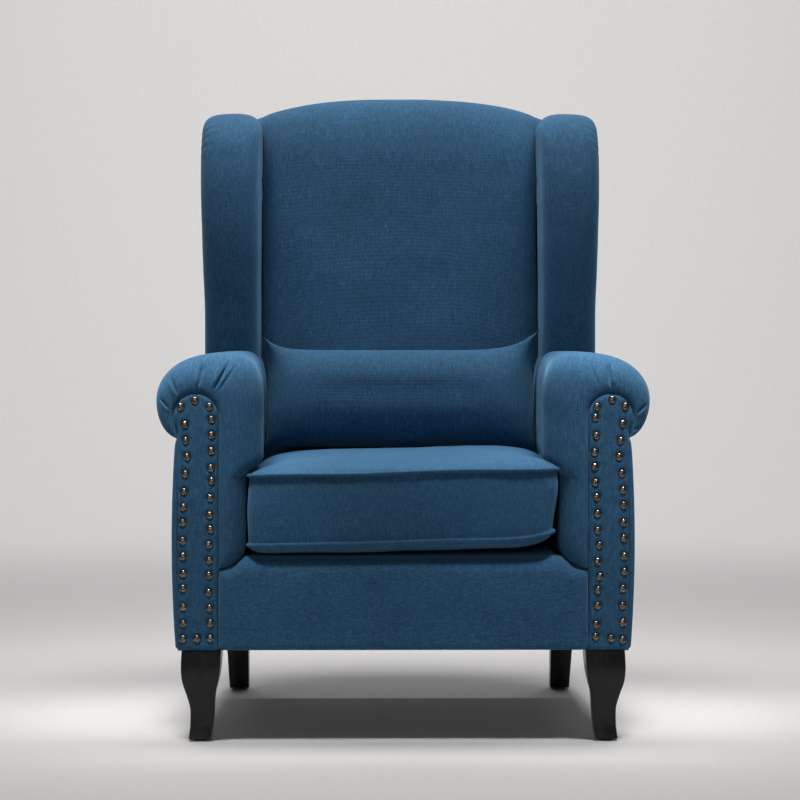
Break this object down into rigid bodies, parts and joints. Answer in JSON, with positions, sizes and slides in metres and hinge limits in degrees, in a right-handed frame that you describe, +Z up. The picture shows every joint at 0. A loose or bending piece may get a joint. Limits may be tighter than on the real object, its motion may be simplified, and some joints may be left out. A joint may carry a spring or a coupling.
{
  "type": "wing-back armchair",
  "caption": "Upholstered wing-back armchair with rolled arms, nail-head trimmed facings, a loose seat cushion, a loose lumbar pillow and black cabriole front legs.",
  "frame": {"origin": "middle of the chair's footprint box, on the floor under it", "axes": "+Z up, -Y towards the front of the chair, +X to the right of someone who looks at its front"},
  "size_m": [0.76, 0.7463, 1.0574],
  "materials": {
    "upholstery": "blue linen-look weave, lighter and darker yarns mixed",
    "frame_wood": "sawn, unfinished",
    "leg_lacquer": "black satin lacquer",
    "glide_plastic": "moulded, matte",
    "bolt_steel": "zinc plated",
    "nail_brass": "antique, darkened",
    "spring_steel": "oiled spring wire",
    "webbing": "woven elastic tape",
    "dust_cloth": "black non-woven cambric",
    "foam": "open-cell polyurethane foam",
    "fibre": "polyester fibre in a cambric bag",
    "zip_tape": "nylon coil on dyed tape",
    "zip_metal": "die-cast, plated"
  },
  "bodies": {
    "chair": {"left_arm_pad": "upholstery", "right_arm_pad": "upholstery", "left_arm_facing": "upholstery", "right_arm_facing": "upholstery", "left_outside_arm_panel": "upholstery", "right_outside_arm_panel": "upholstery", "left_wing_pad": "upholstery", "right_wing_pad": "upholstery", "left_outside_wing_panel": "upholstery", "right_outside_wing_panel": "upholstery", "inside_back_pad": "upholstery", "outside_back_panel": "upholstery", "front_apron": "upholstery", "seat_deck": "upholstery", "front_seat_rail": "frame_wood", "rear_seat_rail": "frame_wood", "left_side_rail": "frame_wood", "right_side_rail": "frame_wood", "left_front_leg_block": "frame_wood", "right_front_leg_block": "frame_wood", "left_rear_leg_block": "frame_wood", "right_rear_leg_block": "frame_wood", "left_arm_front_board": "frame_wood", "right_arm_front_board": "frame_wood", "left_arm_top_rail": "frame_wood", "right_arm_top_rail": "frame_wood", "left_back_post": "frame_wood", "right_back_post": "frame_wood", "back_crest_rail": "frame_wood", "back_lower_rail": "frame_wood", "left_wing_frame": "frame_wood", "right_wing_frame": "frame_wood", "left_front_leg": "leg_lacquer", "right_front_leg": "leg_lacquer", "left_rear_leg": "leg_lacquer", "right_rear_leg": "leg_lacquer", "left_front_glide": "glide_plastic", "right_front_glide": "glide_plastic", "left_rear_glide": "glide_plastic", "right_rear_glide": "glide_plastic", "left_front_leg_bolt": "bolt_steel", "right_front_leg_bolt": "bolt_steel", "left_rear_leg_bolt": "bolt_steel", "right_rear_leg_bolt": "bolt_steel", "left_nail_trim": "nail_brass", "right_nail_trim": "nail_brass", "seat_spring_1": "spring_steel", "seat_spring_2": "spring_steel", "seat_spring_3": "spring_steel", "seat_spring_4": "spring_steel", "back_webbing": "webbing", "dust_cover": "dust_cloth"},
    "seat_cushion": {"seat_cushion_cover": "upholstery", "seat_cushion_core": "foam", "seat_cushion_zip": "zip_tape"},
    "lumbar_pillow": {"lumbar_pillow_cover": "upholstery", "lumbar_pillow_fill": "fibre"},
    "zip_slider": {"zip_slider": "zip_metal"}
  },
  "joints": [
    {"name": "seat_cushion_slide", "type": "slide", "parent": "chair", "child": "seat_cushion", "axis": [0, -1, 0], "range_m": [0, 0.5]},
    {"name": "lumbar_pillow_lift", "type": "slide", "parent": "chair", "child": "lumbar_pillow", "axis": [0, 0, 1], "range_m": [0, 0.35]},
    {"name": "zip_slide", "type": "slide", "parent": "seat_cushion", "child": "zip_slider", "axis": [-1, 0, 0], "range_m": [0, 0.316]}
  ]
}
